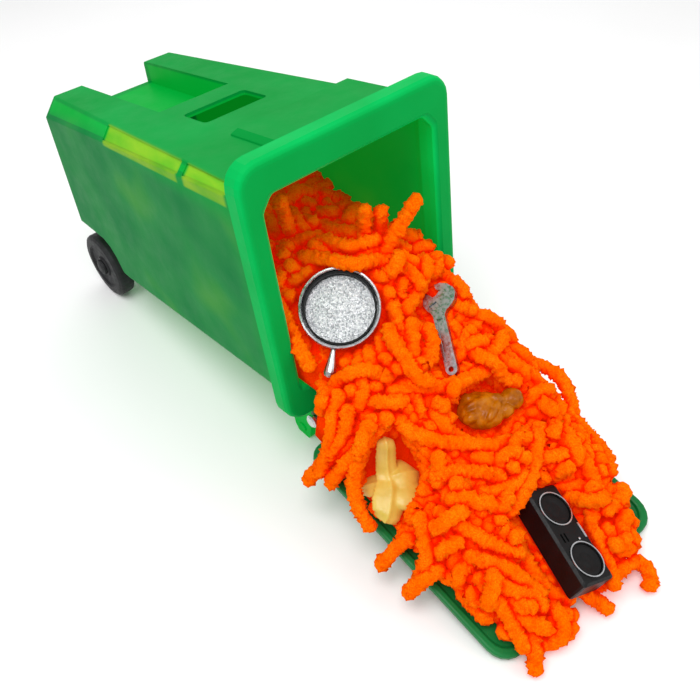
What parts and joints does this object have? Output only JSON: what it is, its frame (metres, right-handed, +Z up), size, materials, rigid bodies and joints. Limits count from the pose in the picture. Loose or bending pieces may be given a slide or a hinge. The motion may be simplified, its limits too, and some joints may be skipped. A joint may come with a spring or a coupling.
{
  "type": "toy wheelie bin with stems and miniatures",
  "caption": "Toy wheelie bin lying on its back with its lid open, spilling fluffy stems and novelty miniatures; lid hinges shut, wheels spin.",
  "frame": {"origin": "middle of the bounding box, on the plane the toy rests on", "axes": "+Z up, +X from the bin's base towards the mouth and the open lid, +Y across, to the right seen from the mouth's back"},
  "size_m": [0.328, 0.1089, 0.1491],
  "materials": {
    "green_plastic": "translucent green, smooth",
    "lid_plastic": "translucent darker green, smooth",
    "black_plastic": "moulded black",
    "steel": "bright",
    "silver_cast": "cast, slightly worn",
    "glitter": "fine silver glitter card",
    "orange_chenille": "fluffy pile on a wire core",
    "banana_plastic": "pale yellow, satin",
    "brown_gloss": "glossy, wrinkled"
  },
  "bodies": {
    "bin": {"bin_body": "green_plastic", "hinge_rod": "steel", "hinge_cap_left": "steel", "hinge_cap_right": "steel", "handle_rod": "green_plastic", "handle_grip": "black_plastic", "axle": "steel", "axle_washer_left": "steel", "axle_washer_right": "steel", "stems_in_bin": "orange_chenille"},
    "wheel_left": {"wheel_left": "black_plastic", "hub_cap_left": "black_plastic"},
    "wheel_right": {"wheel_right": "black_plastic", "hub_cap_right": "black_plastic"},
    "lid": {"lid": "lid_plastic", "stems_on_lid": "orange_chenille", "stem_hinge_side": "orange_chenille", "stem_left_a": "orange_chenille", "stem_left_b": "orange_chenille", "stem_left_tip": "orange_chenille", "stem_end_tip": "orange_chenille", "stem_end_curl": "orange_chenille", "stem_right_loop": "orange_chenille"},
    "magnifier": {"magnifier_frame": "silver_cast", "magnifier_liner": "black_plastic", "magnifier_disc": "glitter"},
    "wrench": {"wrench": "silver_cast"},
    "lump": {"brown_lump": "brown_gloss"},
    "peel": {"banana_peel": "banana_plastic"},
    "radio": {"radio_body": "black_plastic", "speaker_ring_a": "steel", "speaker_ring_b": "steel", "speaker_cone_a": "black_plastic", "speaker_cone_b": "black_plastic", "dial_bar": "steel", "dial_dot": "steel"}
  },
  "joints": [
    {"name": "lid_hinge", "type": "hinge", "parent": "bin", "child": "lid", "pos_m": [0.0318, 0, 0.03274], "axis": [0, -1, 0], "range_deg": [0, 108], "deforming": ["stems_in_bin", "stems_on_lid", "stem_hinge_side", "stem_left_a", "stem_left_b", "stem_left_tip", "stem_end_tip", "stem_end_curl", "stem_right_loop"]},
    {"name": "wheel_left_spin", "type": "hinge", "parent": "bin", "child": "wheel_left", "pos_m": [-0.146, -0.0349, 0.01805], "axis": [0, 1, 0], "continuous": true},
    {"name": "wheel_right_spin", "type": "hinge", "parent": "bin", "child": "wheel_right", "pos_m": [-0.146, 0.0349, 0.01805], "axis": [0, 1, 0], "continuous": true},
    {"name": "magnifier_tuck", "type": "slide", "parent": "bin", "child": "magnifier", "axis": [-0.9969, 0, -0.0786], "range_m": [0, 0.05]},
    {"name": "wrench_tuck", "type": "slide", "parent": "bin", "child": "wrench", "axis": [-0.9988, 0, 0.0499], "range_m": [0, 0.08]},
    {"name": "lump_tuck", "type": "slide", "parent": "lid", "child": "lump", "axis": [-0.9724, 0, 0.2333], "range_m": [0, 0.006]},
    {"name": "peel_tuck", "type": "slide", "parent": "lid", "child": "peel", "axis": [0, 1, 0], "range_m": [0, 0.011]},
    {"name": "radio_tuck", "type": "slide", "parent": "lid", "child": "radio", "axis": [-0.9724, 0, 0.2333], "range_m": [0, 0.02]}
  ],
  "couplings": [
    {"joint": "magnifier_tuck", "follows": "lid_hinge", "m_per_rad": 0.026523},
    {"joint": "wrench_tuck", "follows": "lid_hinge", "m_per_rad": 0.042437},
    {"joint": "lump_tuck", "follows": "lid_hinge", "m_per_rad": 0.0031828},
    {"joint": "peel_tuck", "follows": "lid_hinge", "m_per_rad": 0.0058351},
    {"joint": "radio_tuck", "follows": "lid_hinge", "m_per_rad": 0.010609}
  ]
}
